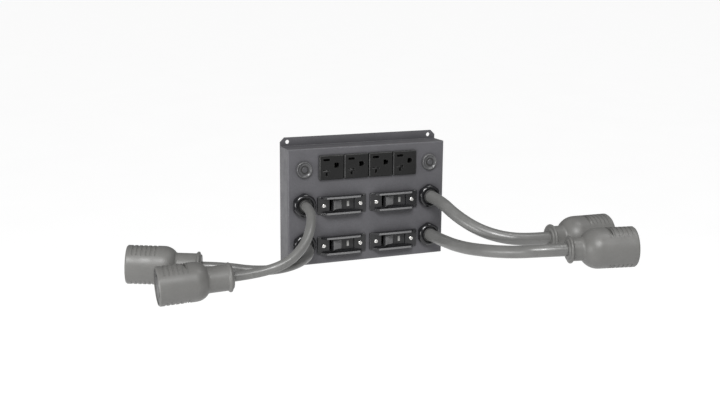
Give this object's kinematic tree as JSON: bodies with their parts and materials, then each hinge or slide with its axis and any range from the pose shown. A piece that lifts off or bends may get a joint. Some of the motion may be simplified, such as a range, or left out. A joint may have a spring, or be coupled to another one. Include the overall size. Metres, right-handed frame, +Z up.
{
  "type": "power distribution panel",
  "caption": "Power distribution panel: grounded outlets, reset buttons, rocker circuit breakers in raised guards, and pigtail cords with locking connectors.",
  "frame": {"origin": "midway between the two flange holes, on the flange's rear mounting face", "axes": "+X along the panel to the viewer's right, +Z up, -Y out of the front face"},
  "size_m": [0.528, 0.2659, 0.1525],
  "materials": {
    "panel_steel": "dark grey semi-gloss powder coat",
    "outlet_plastic": "black moulded nylon",
    "outlet_brass": "plain",
    "strap_brass": "plain",
    "bezel_plastic": "black, glossy",
    "rocker_plastic": "dark grey satin",
    "case_plastic": "black phenolic",
    "cover_plastic": "black phenolic",
    "pin_steel": "plain steel",
    "coil_copper": "enamelled copper wire",
    "arm_copper": "copper",
    "terminal_brass": "plain",
    "screw_nickel": "bright nickel",
    "reset_case": "black phenolic",
    "reset_button": "grey",
    "reset_collar": "grey, satin",
    "grip_nylon": "black nylon",
    "grip_rubber": "black",
    "cord_jacket": "grey, satin",
    "connector_shell": "grey",
    "connector_face": "dark grey",
    "post_nylon": "natural nylon",
    "line_insulation": "black wire insulation",
    "ground_insulation": "green wire insulation"
  },
  "bodies": {
    "panel": {"breaker_bezel_1": "bezel_plastic", "breaker_bezel_2": "bezel_plastic", "breaker_bezel_3": "bezel_plastic", "breaker_bezel_4": "bezel_plastic", "breaker_case_1": "case_plastic", "breaker_case_2": "case_plastic", "breaker_case_3": "case_plastic", "breaker_case_4": "case_plastic", "breaker_coils": "coil_copper", "breaker_contact_arms": "arm_copper", "breaker_covers": "cover_plastic", "breaker_screws": "screw_nickel", "breaker_terminals": "terminal_brass", "bus_posts": "post_nylon", "bus_screws": "screw_nickel", "connector_body_1": "connector_shell", "connector_body_2": "connector_shell", "connector_body_3": "connector_shell", "connector_body_4": "connector_shell", "connector_contacts": "outlet_brass", "connector_face_1": "connector_face", "connector_face_2": "connector_face", "connector_face_3": "connector_face", "connector_face_4": "connector_face", "cord_1": "cord_jacket", "cord_2": "cord_jacket", "cord_3": "cord_jacket", "cord_4": "cord_jacket", "cord_grip_1": "grip_nylon", "cord_grip_2": "grip_nylon", "cord_grip_3": "grip_nylon", "cord_grip_4": "grip_nylon", "front_panel": "panel_steel", "grip_locknuts": "grip_nylon", "grip_seals": "grip_rubber", "ground_nuts": "screw_nickel", "ground_stud": "pin_steel", "ground_wires": "ground_insulation", "line_wires": "line_insulation", "neutral_bus": "strap_brass", "outlet_contacts_1": "outlet_brass", "outlet_contacts_2": "outlet_brass", "outlet_contacts_3": "outlet_brass", "outlet_contacts_4": "outlet_brass", "outlet_housing_1": "outlet_plastic", "outlet_housing_2": "outlet_plastic", "outlet_housing_3": "outlet_plastic", "outlet_housing_4": "outlet_plastic", "outlet_straps": "strap_brass", "reset_body_1": "reset_case", "reset_body_2": "reset_case", "reset_collars": "reset_collar", "reset_terminals": "terminal_brass", "rocker_pivot_pins": "pin_steel"},
    "rocker_1": {"breaker_rocker_1": "rocker_plastic"},
    "rocker_2": {"breaker_rocker_2": "rocker_plastic"},
    "rocker_3": {"breaker_rocker_3": "rocker_plastic"},
    "rocker_4": {"breaker_rocker_4": "rocker_plastic"},
    "button_1": {"reset_button_1": "reset_button"},
    "button_2": {"reset_button_2": "reset_button"}
  },
  "joints": [
    {"name": "rocker_1_tilt", "type": "hinge", "parent": "panel", "child": "rocker_1", "pos_m": [-0.0321, -0.021, -0.07], "axis": [0, 0, -1], "range_deg": [0, 22]},
    {"name": "rocker_2_tilt", "type": "hinge", "parent": "panel", "child": "rocker_2", "pos_m": [0.0321, -0.021, -0.07], "axis": [0, 0, -1], "range_deg": [0, 22]},
    {"name": "rocker_3_tilt", "type": "hinge", "parent": "panel", "child": "rocker_3", "pos_m": [-0.0321, -0.021, -0.1162], "axis": [0, 0, -1], "range_deg": [0, 22]},
    {"name": "rocker_4_tilt", "type": "hinge", "parent": "panel", "child": "rocker_4", "pos_m": [0.0321, -0.021, -0.1162], "axis": [0, 0, -1], "range_deg": [0, 22]},
    {"name": "button_1_travel", "type": "slide", "parent": "panel", "child": "button_1", "axis": [0, -1, 0], "range_m": [0, 0.003]},
    {"name": "button_2_travel", "type": "slide", "parent": "panel", "child": "button_2", "axis": [0, -1, 0], "range_m": [0, 0.003]}
  ]
}
